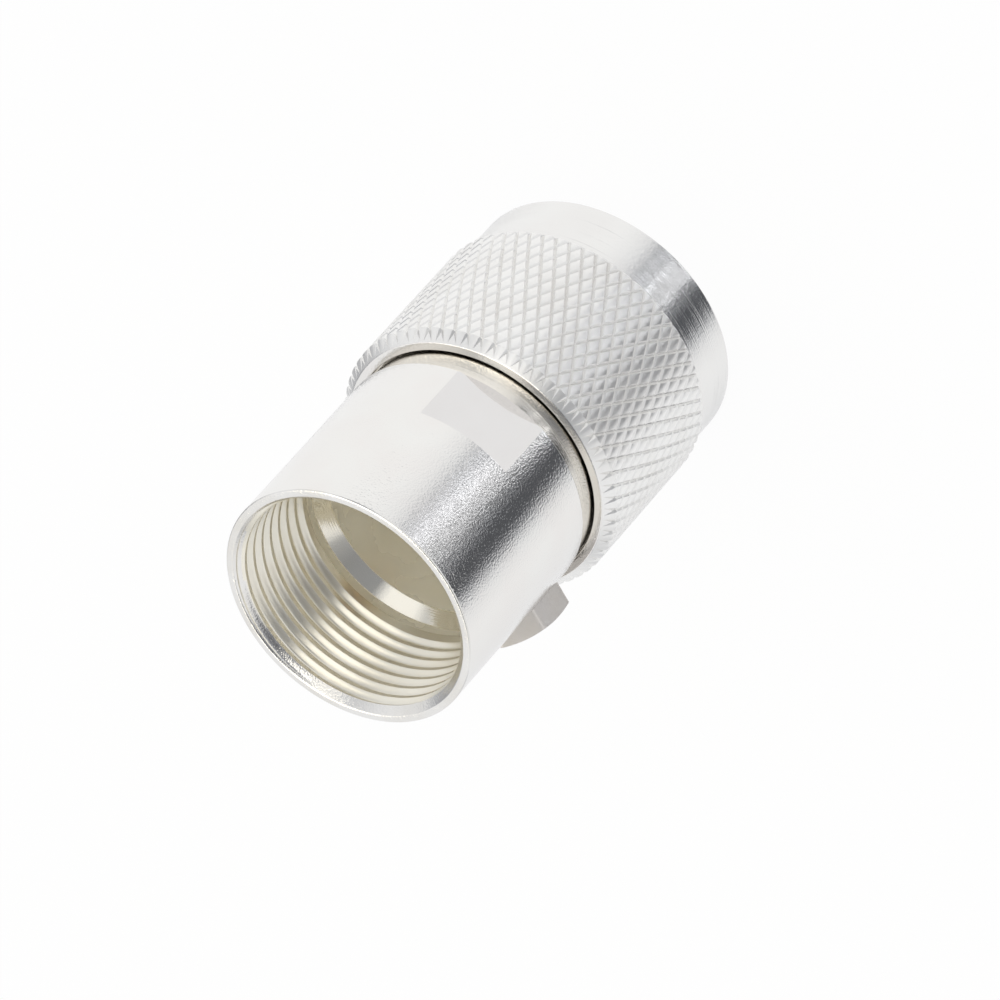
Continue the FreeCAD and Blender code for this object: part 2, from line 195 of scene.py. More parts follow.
def box_cutter(low, high, angle=0):
    """A box between two corners in mm, turned about the axis."""
    bm = bmesh.new()
    bmesh.ops.create_cube(bm, size=1)
    bmesh.ops.scale(bm, vec=[(b - a) * MM for a, b in zip(low, high)], verts=bm.verts)
    bmesh.ops.translate(bm, vec=[(a + b) * MM / 2 for a, b in zip(low, high)], verts=bm.verts)
    bmesh.ops.rotate(bm, matrix=Matrix.Rotation(angle, 3, "Z"), verts=bm.verts)
    return bm


def rod_cutter(radius, start, end, height, angle, sides=64):
    """A rod square to the axis, from one distance out to another."""
    bm = bmesh.new()
    bmesh.ops.create_cone(
        bm, cap_ends=True, segments=sides, radius1=radius * MM, radius2=radius * MM,
        depth=(end - start) * MM,
    )
    bmesh.ops.rotate(bm, matrix=Matrix.Rotation(math.pi / 2, 3, "Y"), verts=bm.verts)
    bmesh.ops.translate(bm, vec=((start + end) / 2 * MM, 0, height * MM), verts=bm.verts)
    bmesh.ops.rotate(bm, matrix=Matrix.Rotation(angle, 3, "Z"), verts=bm.verts)
    return bm


body_corners = [
    (INSERT_RADIUS, hub_front, 0.05),
    (HUB_RADIUS, hub_front, 0.08),
    (HUB_RADIUS, GASKET_SEAT),
    (NECK_RADIUS, GASKET_SEAT, 0.25),
    (NECK_RADIUS, RING_GROOVE[0], 0.05),
    (RING_GROOVE[2], RING_GROOVE[0]),
    (RING_GROOVE[2], RING_GROOVE[1]),
    (NECK_RADIUS, RING_GROOVE[1], 0.05),
    (NECK_RADIUS, NECK_COLLAR[0]),
    (NECK_COLLAR[1], NECK_COLLAR[0] + NECK_COLLAR_RAMP, 0.05),
    (NECK_COLLAR[1], SHOULDER, 0.1),
    (barrel_radius, SHOULDER, SHOULDER_EDGE),
    (barrel_radius, rim, RIM_EDGE),
    (clamp_radius + RIM_MOUTH, rim, 0.08),
    (clamp_radius, rim - RIM_MOUTH),
    (clamp_radius, clamp_start),
    (RELIEF_RADIUS, clamp_start),
    (RELIEF_RADIUS, SEAT_CONE[1], 0.08),
    (CAVITY_RADIUS, SEAT_CONE[0], 0.05),
    (CAVITY_RADIUS, CAVITY_FLOOR),
    (INSERT_RADIUS, CAVITY_FLOOR),
]
turned_body = as_object(turned(body_corners), "turned_body")
reach = barrel_radius + CLEAR
thread_low = clamp_start + CLAMP_THREAD_START
carve(turned_body, [
    box_cutter((-reach, FLAT_FROM_AXIS, SHOULDER), (reach, reach, FLAT_END)),
    box_cutter((-reach, -reach, SHOULDER), (reach, -FLAT_FROM_AXIS, FLAT_END)),
    rod_cutter(SCREW_SEAT[1], SCREW_SEAT[0], reach, SCREW_HEIGHT, SCREW_ANGLE),
    rod_cutter(SCREW_HOLE_RADIUS, CAVITY_RADIUS - CLEAR, reach, SCREW_HEIGHT, SCREW_ANGLE, sides=32),
    thread_cutter(clamp_radius, CLAMP_THREAD_DEPTH, thread_low, rim + THREAD_PITCH, BODY_STEPS),
])
smooth(turned_body)
outline_flat(turned_body, Vector((0, 1, 0)), FLAT_FROM_AXIS)
outline_flat(turned_body, Vector((0, -1, 0)), FLAT_FROM_AXIS)
outline_flat(turned_body, Vector((math.cos(SCREW_ANGLE), math.sin(SCREW_ANGLE), 0)), SCREW_SEAT[0])


def new_group(name, inputs, outputs):
    """A shader node group with its sockets, and its input and output nodes."""
    group = bpy.data.node_groups.new(name, "ShaderNodeTree")
    for label, kind, value in inputs:
        socket = group.interface.new_socket(label, in_out="INPUT", socket_type=kind)
        socket.default_value = value
    for label, kind in outputs:
        group.interface.new_socket(label, in_out="OUTPUT", socket_type=kind)
    return group, group.nodes.new("NodeGroupInput"), group.nodes.new("NodeGroupOutput")


def add(nodes, kind, **settings):
    """A new shader node with its settings."""
    node = nodes.new(kind)
    for key, value in settings.items():
        setattr(node, key, value)
    return node


def spread(nodes, link, source, low, high):
    """Stretch what a value does between low and high over 0 to 1."""
    node = add(nodes, "ShaderNodeMapRange")
    node.inputs["From Min"].default_value = low
    node.inputs["From Max"].default_value = high
    link(source, node.inputs["Value"])
    return node.outputs["Result"]


def build_surface_grain():
    """The finish of one turned, tumbled and plated or moulded surface.

    A fine dimpling, faint lathe rings about the axis, dents far apart, and slow drifts of tone and
    gloss. The rings' pitch and the sizes of the rest are in millimetres.
    """
    group, given, out = new_group(
        "surface_grain",
        [
            ("Tone", "NodeSocketColor", (0.86, 0.85, 0.83, 1)),
            ("Deep Tone", "NodeSocketColor", (0.8, 0.78, 0.74, 1)),
            ("Gloss Roughness", "NodeSocketFloat", 0.12),
            ("Dull Roughness", "NodeSocketFloat", 0.2),
            ("Grain Size", "NodeSocketFloat", 0.17),
            ("Grain Depth", "NodeSocketFloat", 0.5),
            ("Ring Depth", "NodeSocketFloat", 0.0),
            ("Dent Depth", "NodeSocketFloat", 0.0),
        ],
        [
            ("Color", "NodeSocketColor"),
            ("Roughness", "NodeSocketFloat"),
            ("Normal", "NodeSocketVector"),
        ],
    )
    nodes, link = group.nodes, group.links.new
    place = add(nodes, "ShaderNodeTexCoord")
    scale = add(nodes, "ShaderNodeMapping")
    scale.inputs["Scale"].default_value = (1 / MM, 1 / MM, 1 / MM)
    link(place.outputs["Object"], scale.inputs["Vector"])

    per_mm = add(nodes, "ShaderNodeMath", operation="DIVIDE")
    per_mm.inputs[0].default_value = 1
    link(given.outputs["Grain Size"], per_mm.inputs[1])
    fine = add(nodes, "ShaderNodeTexNoise")
    fine.inputs["Detail"].default_value = 1.0
    fine.inputs["Roughness"].default_value = 0.5
    link(scale.outputs["Vector"], fine.inputs["Vector"])
    link(per_mm.outputs["Value"], fine.inputs["Scale"])

    drift = add(nodes, "ShaderNodeTexNoise")
    drift.inputs["Scale"].default_value = 0.3
    drift.inputs["Detail"].default_value = 3
    link(scale.outputs["Vector"], drift.inputs["Vector"])
    drift_share = spread(nodes, link, drift.outputs["Fac"], 0.35, 0.65)

    tone = add(nodes, "ShaderNodeMix", data_type="RGBA")
    link(drift_share, tone.inputs["Factor"])
    link(given.outputs["Tone"], tone.inputs["A"])
    link(given.outputs["Deep Tone"], tone.inputs["B"])
    gloss = add(nodes, "ShaderNodeMix", data_type="FLOAT")
    link(drift_share, gloss.inputs["Factor"])
    link(given.outputs["Gloss Roughness"], gloss.inputs["A"])
    link(given.outputs["Dull Roughness"], gloss.inputs["B"])

    split = add(nodes, "ShaderNodeSeparateXYZ")
    link(scale.outputs["Vector"], split.inputs["Vector"])
    rings = add(nodes, "ShaderNodeTexNoise", noise_dimensions="1D")
    rings.inputs["Scale"].default_value = 9.0
    rings.inputs["Detail"].default_value = 2
    link(split.outputs["Z"], rings.inputs["W"])

    pits = add(nodes, "ShaderNodeTexVoronoi", feature="SMOOTH_F1")
    pits.inputs["Scale"].default_value = 1.6
    pits.inputs["Smoothness"].default_value = 0.3
    link(scale.outputs["Vector"], pits.inputs["Vector"])
    dents = spread(nodes, link, pits.outputs["Distance"], 0.0, 0.28)

    ring_bump = add(nodes, "ShaderNodeBump")
    ring_bump.inputs["Distance"].default_value = 0.01 * MM
    link(given.outputs["Ring Depth"], ring_bump.inputs["Strength"])
    link(rings.outputs["Fac"], ring_bump.inputs["Height"])
    dent_bump = add(nodes, "ShaderNodeBump")
    dent_bump.inputs["Distance"].default_value = 0.03 * MM
    link(given.outputs["Dent Depth"], dent_bump.inputs["Strength"])
    link(dents, dent_bump.inputs["Height"])
    link(ring_bump.outputs["Normal"], dent_bump.inputs["Normal"])
    bump = add(nodes, "ShaderNodeBump")
    bump.inputs["Distance"].default_value = 0.02 * MM
    link(given.outputs["Grain Depth"], bump.inputs["Strength"])
    link(fine.outputs["Fac"], bump.inputs["Height"])
    link(dent_bump.outputs["Normal"], bump.inputs["Normal"])
    link(tone.outputs["Result"], out.inputs["Color"])
    link(gloss.outputs["Result"], out.inputs["Roughness"])
    link(bump.outputs["Normal"], out.inputs["Normal"])
    return group


surface_grain = build_surface_grain()


def finish(name, metallic=1.0, **values):
    """A material made with the grain group: plated or bare metal, or with metallic 0 a plastic."""
    material = bpy.data.materials.new(name)
    material.use_nodes = True
    nodes, link = material.node_tree.nodes, material.node_tree.links.new
    shader = nodes["Principled BSDF"]
    shader.inputs["Metallic"].default_value = metallic
    grain = add(nodes, "ShaderNodeGroup", node_tree=surface_grain)
    for label, value in values.items():
        grain.inputs[label.replace("_", " ").title()].default_value = value
    link(grain.outputs["Color"], shader.inputs["Base Color"])
    link(grain.outputs["Roughness"], shader.inputs["Roughness"])
    link(grain.outputs["Normal"], shader.inputs["Normal"])
    return material


satin_silver = finish(
    "satin_silver", tone=(0.868, 0.86, 0.838, 1), deep_tone=(0.862, 0.843, 0.822, 1),
    gloss_roughness=0.08, dull_roughness=0.12, grain_size=0.14, grain_depth=0.85,
)
# The bore's wall: the same silver plate as the outside, but painted lighter and creamier and made
# mostly diffuse, as painted light bounced round inside the bore.
bore_painted_light = finish(
    "bore_painted_light", metallic=0.2, tone=(0.99, 0.965, 0.87, 1), deep_tone=(0.98, 0.95, 0.83, 1),
    gloss_roughness=0.22, dull_roughness=0.34, grain_size=0.25, grain_depth=0.12,
)
# The clamp thread: the same plate, painted lighter and warmer than the outside, as painted light
# bounced round inside the bore.
thread_painted_light = finish(
    "thread_painted_light", metallic=0.62, tone=(0.97, 0.94, 0.85, 1), deep_tone=(0.95, 0.91, 0.8, 1),
    gloss_roughness=0.16, dull_roughness=0.24, grain_size=0.25, grain_depth=0.15,
)
# The seat cone: the real mirror-bright plate, with a painted khaki tint that stands for light reflected
# round inside the bore.
seat_painted_reflection = finish(
    "seat_painted_reflection", tone=(0.92, 0.89, 0.8, 1), deep_tone=(0.9, 0.86, 0.76, 1),
    gloss_roughness=0.08, dull_roughness=0.13, grain_size=0.2, grain_depth=0.1, ring_depth=0.3,
)
neck_silver = finish(
    "neck_silver", tone=(0.86, 0.83, 0.77, 1), deep_tone=(0.84, 0.8, 0.73, 1),
    gloss_roughness=0.14, dull_roughness=0.2, grain_size=0.17, grain_depth=0.35, ring_depth=0.5,
)
worn_rim = finish(
    "worn_rim", tone=(0.88, 0.87, 0.85, 1), deep_tone=(0.82, 0.8, 0.76, 1),
    gloss_roughness=0.1, dull_roughness=0.2, grain_size=0.12, grain_depth=0.8, dent_depth=0.3,
)
milled_silver = finish(
    "milled_silver", tone=(0.88, 0.865, 0.85, 1), deep_tone=(0.875, 0.855, 0.838, 1),
    gloss_roughness=0.16, dull_roughness=0.22, grain_size=0.16, grain_depth=0.2,
)


def dress(piece, body, node, slot, *materials):
    """Give the piece its finish, put it on its body and let it stand for its node."""
    piece.data.materials.clear()
    for material in materials:
        piece.data.materials.append(material)
    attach(piece, body)
    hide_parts(node)


def placed(polygon):
    """A face's middle in mm, its distance from the axis, and how far it looks away from the axis."""
    middle = polygon.center / MM
    across = math.hypot(middle.x, middle.y)
    outward = (polygon.normal.x * middle.x + polygon.normal.y * middle.y) / across
    return middle, across, outward


dress(
    turned_body, "plug", "rear_body", "silver_plate",
    satin_silver, bore_painted_light, neck_silver, worn_rim, thread_painted_light, seat_painted_reflection, milled_silver,
)
SATIN, BORE, NECK, WORN, THREAD, SEAT, MILLED = range(7)
INWARD = 0.05
MOUTH_FACING = 0.6
for polygon in turned_body.data.polygons:
    middle, across, outward = placed(polygon)
    polygon.material_index = SATIN
    if middle.z < SHOULDER - SLACK:
        polygon.material_index = NECK
    elif middle.z > rim - RIM_EDGE:
        polygon.material_index = WORN
    elif middle.z > rim - RIM_MOUTH and polygon.normal.z > MOUTH_FACING:
        polygon.material_index = WORN
    # Inside the bore, the wall, thread and seat cone take copies of the plate with painted light:
    # lighter and warmer than the outside.
    elif outward < INWARD and across < clamp_radius + RIM_MOUTH and middle.z > SHOULDER + SLACK:
        polygon.material_index = BORE
        if middle.z > clamp_start:
            polygon.material_index = THREAD
        elif SEAT_CONE[0] < middle.z < SEAT_CONE[1]:
            polygon.material_index = SEAT
    elif abs(polygon.normal.y) > SQUARE_ON and abs(abs(middle.y) - FLAT_FROM_AXIS) < SLACK:
        polygon.material_index = MILLED
    elif polygon.normal.z > SQUARE_ON and middle.z < SHOULDER + SLACK:
        polygon.material_index = MILLED

# The coupling nut: turned brass with the same plate, free to spin on the neck. A diamond knurl
# covers it from the plain front band to the rear bevel, and its front bore is tapped for the jack.
nut_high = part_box("coupling_nut")[1]
nut_radius = nut_high.x / MM
nut_length = nut_high.z / MM
KNURL_COUNT = 64
KNURL_ROWS = 12
KNURL_EXTRA_ROWS = 2
KNURL_DEPTH = 0.21
KNURL_FLANK = (0.13, 0.175)
KNURL_CROWN = 0.16
KNURL_SLOPE = 0.68
KNURL_RUN_OUT = 0.2
BAND_LENGTH = 4.4
BAND_RADIUS = 9.92
NUT_BEVEL = 0.75
COUPLING_END = 7.4
COUPLING_MOUTH = 0.7
COUPLING_THREAD_DEPTH = 0.48
COUPLING_RELIEF = 8.15
NUT_SHELF = 12.3
RUNNING_RADIUS = 8.87
NUT_GROOVE = (13.55, 14.65, 9.5)
NUT_MOUTH = (15.6, 9.05)
coupling_radius = mounts["coupling_thread"]["dims"]["r_mm"]

nut_corners = [
    (coupling_radius + COUPLING_MOUTH, 0, 0.06),
    (BAND_RADIUS, 0, 0.12),
    (BAND_RADIUS, BAND_LENGTH),
    (nut_radius - KNURL_DEPTH, BAND_LENGTH),
    (nut_radius + KNURL_RUN_OUT, BAND_LENGTH + KNURL_RUN_OUT),
    (nut_radius + KNURL_RUN_OUT, nut_length - NUT_BEVEL - KNURL_RUN_OUT),
    (nut_radius - NUT_BEVEL, nut_length, 0.06),
    (NUT_MOUTH[1], nut_length, 0.08),
    (NUT_MOUTH[1], NUT_MOUTH[0]),
    (RUNNING_RADIUS, NUT_MOUTH[0], 0.05),
    (RUNNING_RADIUS, NUT_GROOVE[1]),
    (NUT_GROOVE[2], NUT_GROOVE[1]),
    (NUT_GROOVE[2], NUT_GROOVE[0]),
    (RUNNING_RADIUS, NUT_GROOVE[0]),
    (RUNNING_RADIUS, NUT_SHELF, 0.05),
    (COUPLING_RELIEF, NUT_SHELF),
    (COUPLING_RELIEF, COUPLING_END),
    (coupling_radius, COUPLING_END),
    (coupling_radius, COUPLING_MOUTH),
]


def knurled_bar():
    """A bar with raised diamonds all over it, longer at both ends than the nut's knurl."""
    bm = bmesh.new()
    root = (nut_radius - KNURL_DEPTH) * MM
    row_height = (nut_length - NUT_BEVEL - BAND_LENGTH) / KNURL_ROWS
    half_step = math.pi / KNURL_COUNT
    ring = bmesh.ops.create_circle(bm, segments=2 * KNURL_COUNT, radius=root)["verts"]
    start = BAND_LENGTH - (KNURL_EXTRA_ROWS + BAND_LENGTH // row_height) * row_height
    bmesh.ops.translate(bm, vec=(0, 0, start * MM), verts=ring)
    edges = list(bm.edges)
    while ring[0].co.z < (nut_length + row_height) * MM:
        made = bmesh.ops.extrude_edge_only(bm, edges=edges)["geom"]
        ring = [item for item in made if isinstance(item, bmesh.types.BMVert)]
        fresh = set(ring)
        new_edges = [item for item in made if isinstance(item, bmesh.types.BMEdge)]
        edges = [edge for edge in new_edges if fresh.issuperset(edge.verts)]
        bmesh.ops.translate(bm, vec=(0, 0, row_height * MM), verts=ring)
    middles = set()
    for vert in bm.verts:
        step = round(math.atan2(vert.co.y, vert.co.x) / half_step)
        row = round((vert.co.z / MM - BAND_LENGTH) / row_height)
        if (step + row) % 2 == 0:
            middles.add(vert)
    for face in list(bm.faces):
        bmesh.utils.face_split(face, *[vert for vert in face.verts if vert not in middles])
    bmesh.ops.dissolve_verts(bm, verts=list(middles))
    diamonds = [face for face in bm.faces if len(face.verts) == 4]
    bmesh.ops.holes_fill(bm, edges=[edge for edge in bm.edges if edge.is_boundary])
    bmesh.ops.recalc_face_normals(bm, faces=bm.faces)
    crown_height = KNURL_DEPTH - KNURL_FLANK[1]
    for thickness, depth in (KNURL_FLANK, (KNURL_CROWN, crown_height)):
        bmesh.ops.inset_individual(
            bm, faces=diamonds, thickness=thickness * MM, depth=depth * MM, use_even_offset=True
        )
    bevel_start = (nut_length - NUT_BEVEL) * MM
    for vert in bm.verts:
        if vert.co.z > bevel_start:
            radius = math.hypot(vert.co.x, vert.co.y)
            shrink = 1 - KNURL_SLOPE * (vert.co.z - bevel_start) / radius
            vert.co.x *= shrink
            vert.co.y *= shrink
    return bm


knurled_nut = as_object(turned(nut_corners, steps=2 * KNURL_COUNT), "knurled_nut")
carve(knurled_nut, [knurled_bar()], operation="INTERSECT")
thread_high = COUPLING_END + THREAD_PITCH
carve(knurled_nut, [
    thread_cutter(coupling_radius, COUPLING_THREAD_DEPTH, -THREAD_PITCH, thread_high, 2 * KNURL_COUNT),
])
smooth(knurled_nut, sharp_above=25)
knurl_silver = finish(
    "knurl_silver", metallic=0.92, tone=(0.94, 0.935, 0.92, 1), deep_tone=(0.92, 0.91, 0.89, 1),
    gloss_roughness=0.3, dull_roughness=0.36, grain_size=0.14, grain_depth=0.35,
)
band_silver = finish(
    "band_silver", tone=(0.87, 0.865, 0.85, 1), deep_tone=(0.86, 0.85, 0.835, 1),
    gloss_roughness=0.12, dull_roughness=0.18, grain_size=0.2, grain_depth=0.45, ring_depth=1.6,
)
dress(
    knurled_nut, "coupling_nut", "coupling_nut", "silver_plate",
    satin_silver, neck_silver, knurl_silver, band_silver,
)
NUT_REAR, NUT_INSIDE, NUT_KNURL, NUT_BAND = range(4)
INSIDE_RADIUS = BAND_RADIUS - 0.1
INSIDE_HEIGHTS = (0.05, nut_length - 0.02)
KNURL_END = nut_length - 0.4
for polygon in knurled_nut.data.polygons:
    middle, across, outward = placed(polygon)
    polygon.material_index = NUT_REAR
    within = across < INSIDE_RADIUS and INSIDE_HEIGHTS[0] < middle.z < INSIDE_HEIGHTS[1]
    if outward < INWARD and within:
        polygon.material_index = NUT_INSIDE
    elif middle.z < BAND_LENGTH:
        polygon.material_index = NUT_BAND
    elif middle.z < KNURL_END:
        polygon.material_index = NUT_KNURL

# The side screw: steel, screwed into the barrel's wall beside the shoulder. Its hexagonal head
# has a turned crown, and stands on a small round seat that is milled into the barrel.
SCREW_FLATS = 5.5
SCREW_REACH = 1.6
SCREW_CROWN = 2.45
SCREW_CORNER_DROP = 0.28
SCREW_TURN = math.radians(3)
SCREW_ROUNDING = 0.16
SCREW_SHANK = (7.61, 1.2)
SCREW_SPARE = (0.1, 0.0387)        # how far the crown runs on past the corners, out and down
HEXAGON_LENGTH = 12
HEXAGON_MIDDLE = SCREW_SEAT[0] + 1
ON_AXIS = 0.001
screw_corner = SCREW_FLATS / math.sqrt(3)
screw_top = barrel_radius + SCREW_REACH


def laid_out(bm, height, angle):
    """Lay a piece that was made upright at the origin so that it points out of the barrel."""
    bmesh.ops.rotate(bm, matrix=Matrix.Rotation(math.pi / 2, 3, "Y"), verts=bm.verts)
    bmesh.ops.translate(bm, vec=(0, 0, height * MM), verts=bm.verts)
    bmesh.ops.rotate(bm, matrix=Matrix.Rotation(angle, 3, "Z"), verts=bm.verts)
    return bm


screw_corners = [
    (ON_AXIS, SCREW_SHANK[0]),
    (SCREW_SHANK[1], SCREW_SHANK[0], 0.15),
    (SCREW_SHANK[1], SCREW_SEAT[0]),
    (screw_corner + SCREW_SPARE[0], SCREW_SEAT[0]),
    (screw_corner + SCREW_SPARE[0], screw_top - SCREW_CORNER_DROP - SCREW_SPARE[1]),
    (SCREW_CROWN, screw_top, 0.4),
    (ON_AXIS, screw_top),
]
screw_blank = turned(screw_corners, steps=96)
hexagon_screw = as_object(laid_out(screw_blank, SCREW_HEIGHT, SCREW_ANGLE), "hexagon_screw")
hexagon = bmesh.new()
bmesh.ops.create_cone(
    hexagon, cap_ends=True, segments=6, radius1=screw_corner * MM, radius2=screw_corner * MM,
    depth=HEXAGON_LENGTH * MM,
)
bmesh.ops.translate(hexagon, vec=(0, 0, HEXAGON_MIDDLE * MM), verts=hexagon.verts)
upright = [edge for edge in hexagon.edges if abs(edge.verts[0].co.z - edge.verts[1].co.z) > MM]
bmesh.ops.bevel(
    hexagon, geom=upright, affect="EDGES", offset=SCREW_ROUNDING * MM, offset_type="OFFSET",
    segments=4, profile=0.5, material=-1,
)
bmesh.ops.rotate(hexagon, matrix=Matrix.Rotation(math.pi / 2 + SCREW_TURN, 3, "Z"), verts=hexagon.verts)
carve(hexagon_screw, [laid_out(hexagon, SCREW_HEIGHT, SCREW_ANGLE)], operation="INTERSECT")
smooth(hexagon_screw)
screw_steel = finish(
    "screw_steel", tone=(0.82, 0.79, 0.76, 1), deep_tone=(0.74, 0.7, 0.65, 1),
    gloss_roughness=0.5, dull_roughness=0.6, grain_size=0.15, grain_depth=0.4, dent_depth=0.15,
)
dress(hexagon_screw, "plug", "side_screw", "screw_steel", screw_steel)

# The retaining ring: spring bronze wire of flat section, bent round with a gap so that it can be
# closed up into the neck's groove and spring out into the nut's. Bare metal with blunt edges.
ring_low, ring_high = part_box("retaining_ring")
RING_INNER_RADIUS = 8.15
RING_GAP = math.radians(16)
RING_EDGE = 0.08
ring_radius = ring_high.x / MM
ring_corners = [
    (RING_INNER_RADIUS, ring_low.z / MM, RING_EDGE),
    (ring_radius, ring_low.z / MM, RING_EDGE),
    (ring_radius, ring_high.z / MM, RING_EDGE),
    (RING_INNER_RADIUS, ring_high.z / MM, RING_EDGE),
]
wire = bmesh.new()
wire_points = [wire.verts.new((across * MM, 0, up * MM)) for across, up in eased(ring_corners)]
wire_end = wire.faces.new(wire_points)
bmesh.ops.rotate(wire, matrix=Matrix.Rotation(RING_GAP / 2 - math.pi, 3, "Z"), verts=wire.verts)
bmesh.ops.spin(
    wire, geom=[wire_end], axis=(0, 0, 1), angle=math.tau - RING_GAP, steps=160, use_merge=False
)
bmesh.ops.recalc_face_normals(wire, faces=wire.faces)
snap_ring = as_object(wire, "snap_ring")
smooth(snap_ring)
spring_bronze = finish(
    "spring_bronze", tone=(0.62, 0.45, 0.27, 1), deep_tone=(0.5, 0.34, 0.2, 1),
    gloss_roughness=0.2, dull_roughness=0.34, grain_size=0.3, grain_depth=0.2, ring_depth=0.6,
)
dress(snap_ring, "plug", "retaining_ring", "spring_bronze", spring_bronze)

# The face gasket: a moulded silicone rubber washer. It lies round the hub against the front face
# of the neck, and the end of the jack's barrel presses on it.
gasket_low, gasket_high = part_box("face_gasket")
GASKET_BORE = HUB_RADIUS + 0.05
gasket_radius = gasket_high.x / MM
rubber_washer = as_object(
    turned([
        (GASKET_BORE, gasket_low.z / MM, 0.2),
        (gasket_radius, gasket_low.z / MM, 0.3),
        (gasket_radius, gasket_high.z / MM, 0.2),
        (GASKET_BORE, gasket_high.z / MM, 0.1),
    ], steps=128),
    "rubber_washer",
)
smooth(rubber_washer)
silicone_rubber = finish(
    "silicone_rubber", metallic=0, tone=(0.62, 0.2, 0.12, 1), deep_tone=(0.52, 0.16, 0.1, 1),
    gloss_roughness=0.5, dull_roughness=0.68, grain_size=0.09, grain_depth=0.5,
)
dress(rubber_washer, "plug", "face_gasket", "silicone_rubber", silicone_rubber)

# The outer contact: turned brass with bright silver. Four saw cuts make its front end springy,
# its flange stops against the hub, and its skirt is pressed into the hub's bore.
sleeve_low, sleeve_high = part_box("outer_contact")
SLEEVE_BORE = 3.5
SLEEVE_TIP = 0.2
FLANGE = (10.6, 5.4)
SKIRT_RADIUS = 4.58
BEAD_SEAT = (11.05, 3.83)
SLOT_WIDTH = 0.4
SLOT_LENGTH = 5.5
sleeve_radius = mounts["contact_sleeve"]["dims"]["r_mm"]
sleeve_tip = sleeve_low.z / MM
skirt_end = sleeve_high.z / MM
slotted_sleeve = as_object(
    turned([
        (SLEEVE_BORE, sleeve_tip, 0.1),
        (sleeve_radius, sleeve_tip, SLEEVE_TIP),
        (sleeve_radius, FLANGE[0], 0.06),
        (FLANGE[1], FLANGE[0], 0.1),
        (FLANGE[1], hub_front, 0.06),
        (SKIRT_RADIUS, hub_front),
        (SKIRT_RADIUS, skirt_end, 0.1),
        (BEAD_SEAT[1], skirt_end, 0.05),
        (BEAD_SEAT[1], BEAD_SEAT[0]),
        (SLEEVE_BORE, BEAD_SEAT[0]),
    ], steps=128),
    "slotted_sleeve",
)
slot_half = SLOT_WIDTH / 2
slot_low = (-FLANGE[1], -slot_half, sleeve_tip - CLEAR)
slot_high = (FLANGE[1], slot_half, sleeve_tip + SLOT_LENGTH)
SLOT_ANGLES = (math.radians(45), math.radians(135))
carve(slotted_sleeve, [box_cutter(slot_low, slot_high, angle) for angle in SLOT_ANGLES])
smooth(slotted_sleeve)
contact_silver = finish(
    "contact_silver", tone=(0.88, 0.87, 0.85, 1), deep_tone=(0.86, 0.84, 0.8, 1),
    gloss_roughness=0.1, dull_roughness=0.16, grain_size=0.3, grain_depth=0.08, ring_depth=0.6,
)
dress(slotted_sleeve, "plug", "outer_contact", "contact_silver", contact_silver)

# The two beads: white fluoroplastic, turned to a press fit. The front one sits in the contact's
# skirt, the rear one behind it, and between them they hold the pin's collar.
front_low, front_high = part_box("front_bead")
rear_low, rear_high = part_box("rear_bead")
BEAD_HOLE = 1.54
COLLAR_POCKET = (2.02, 0.62)
bead_radius = front_high.x / MM
white_plastic = finish(
    "white_plastic", metallic=0, tone=(0.9, 0.9, 0.88, 1), deep_tone=(0.86, 0.86, 0.83, 1),
    gloss_roughness=0.36, dull_roughness=0.5, grain_size=0.25, grain_depth=0.12, ring_depth=1.0,
)
front_insulator = as_object(
    turned([
        (BEAD_HOLE, front_low.z / MM, 0.05),
        (bead_radius, front_low.z / MM, 0.1),
        (bead_radius, front_high.z / MM, 0.1),
        (BEAD_HOLE, front_high.z / MM, 0.05),
    ], steps=96),
    "front_insulator",
)
smooth(front_insulator)
dress(front_insulator, "plug", "front_bead", "white_plastic", white_plastic)
pocket_end = rear_low.z / MM + COLLAR_POCKET[1]
rear_insulator = as_object(
    turned([
        (COLLAR_POCKET[0], rear_low.z / MM, 0.05),
        (rear_high.x / MM, rear_low.z / MM, 0.1),
        (rear_high.x / MM, rear_high.z / MM, 0.15),
        (BEAD_HOLE, rear_high.z / MM, 0.08),
        (BEAD_HOLE, pocket_end),
        (COLLAR_POCKET[0], pocket_end),
    ], steps=96),
    "rear_insulator",
)
smooth(rear_insulator)
dress(rear_insulator, "plug", "rear_bead", "white_plastic", white_plastic)

# The centre contact: one turned brass pin with gold plate. Its collar is held between the beads,
# and the cable's core is soldered into the cup behind them, through the small cross hole.
pin_low, pin_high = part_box("centre_contact")
PIN_TIP = (0.35, 0.9)
PIN_SHOULDER = 7.8
CONTACT_RADIUS = 1.52
COLLAR = (14.5, 15.1)
CROSS_HOLE = (18.0, 0.4)
CROSS_HOLE_START = 0.2
CUP_POINT = 0.3
pin_radius = mounts["centre_pin"]["dims"]["r_mm"]
cup_radius = mounts["solder_cup"]["dims"]["r_mm"]
cup_depth = mounts["solder_cup"]["dims"]["length_mm"]
pin_tip = pin_low.z / MM
cup_end = pin_high.z / MM
contact_pin = as_object(
    turned([
        (ON_AXIS, pin_tip),
        (PIN_TIP[0], pin_tip, 0.1),
        (pin_radius, pin_tip + PIN_TIP[1], 0.2),
        (pin_radius, PIN_SHOULDER),
        (CONTACT_RADIUS, PIN_SHOULDER, 0.12),
        (CONTACT_RADIUS, COLLAR[0]),
        (pin_high.x / MM, COLLAR[0], 0.05),
        (pin_high.x / MM, COLLAR[1], 0.05),
        (CONTACT_RADIUS, COLLAR[1]),
        (CONTACT_RADIUS, cup_end, 0.06),
        (cup_radius, cup_end, 0.1),
        (cup_radius, cup_end - cup_depth),
        (ON_AXIS, cup_end - cup_depth - CUP_POINT),
    ], steps=96),
    "contact_pin",
)
hole_end = CONTACT_RADIUS + CLEAR
